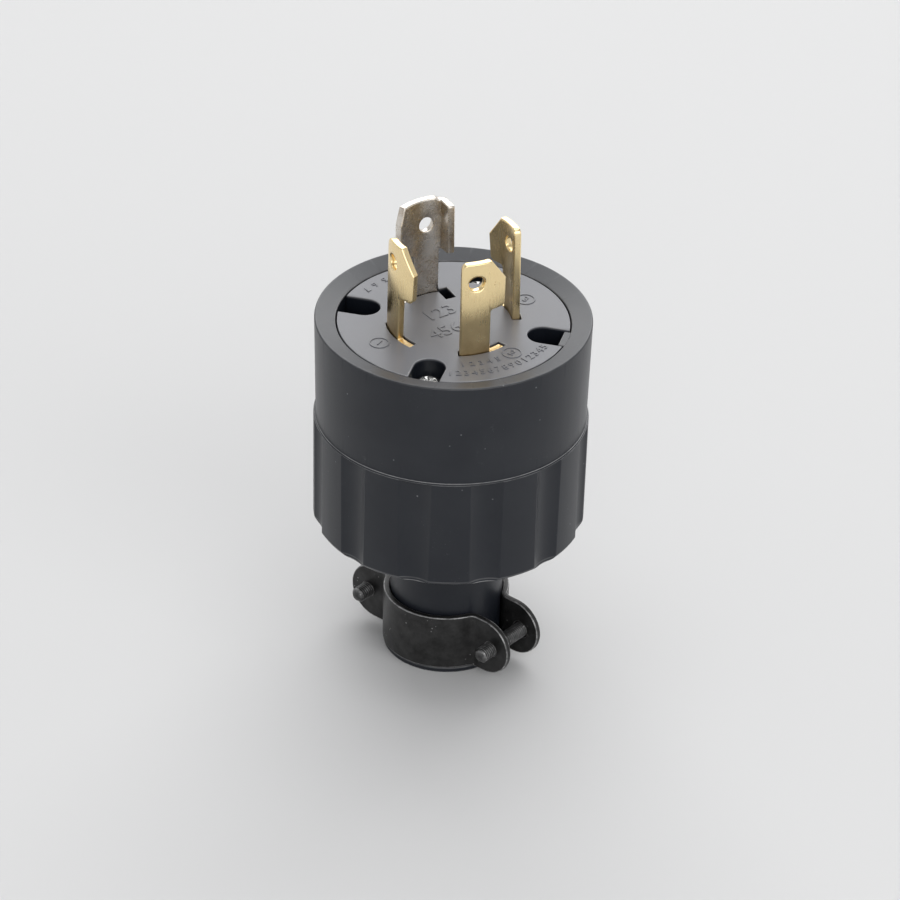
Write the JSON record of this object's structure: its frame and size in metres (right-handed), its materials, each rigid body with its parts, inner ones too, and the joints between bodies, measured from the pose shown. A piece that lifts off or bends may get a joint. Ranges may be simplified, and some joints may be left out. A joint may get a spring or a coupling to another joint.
{
  "type": "locking power plug",
  "caption": "Round twist-locking power plug: fluted black shell, face disc with curved hooked blades, cord neck with a two-piece screw clamp.",
  "frame": {"origin": "centre of the plug's axis at the end of the cord neck, on the surface it stands on", "axes": "+Z along the plug's axis towards the blades; +X through the key slot of the face"},
  "size_m": [0.054, 0.054, 0.0953],
  "materials": {
    "shell_plastic": "satin black moulding",
    "face_plastic": "satin dark grey moulding",
    "block_plastic": "matt black moulding",
    "blade_brass": "satin brass",
    "blade_nickel": "nickel plated brass, satin",
    "zinc_steel": "bright zinc plate",
    "black_steel": "black oxide, slightly worn",
    "black_screw": "black oxide"
  },
  "bodies": {
    "root": {"shell": "shell_plastic", "face_insert": "face_plastic", "terminal_block": "block_plastic", "blade_x": "blade_brass", "blade_y": "blade_brass", "blade_z": "blade_brass", "blade_ground": "blade_nickel", "face_screw_front": "zinc_steel", "face_screw_back": "zinc_steel", "block_screw_left": "zinc_steel", "block_screw_right": "zinc_steel", "terminal_screw_x": "zinc_steel", "terminal_screw_y": "zinc_steel", "terminal_screw_z": "zinc_steel", "terminal_screw_ground": "zinc_steel", "wire_plate_x": "zinc_steel", "wire_plate_y": "zinc_steel", "wire_plate_z": "zinc_steel", "wire_plate_ground": "zinc_steel", "cord_clamp_near": "black_steel", "cord_clamp_far": "black_steel", "clamp_screw_left": "black_screw", "clamp_screw_right": "black_screw"}
  },
  "joints": []
}
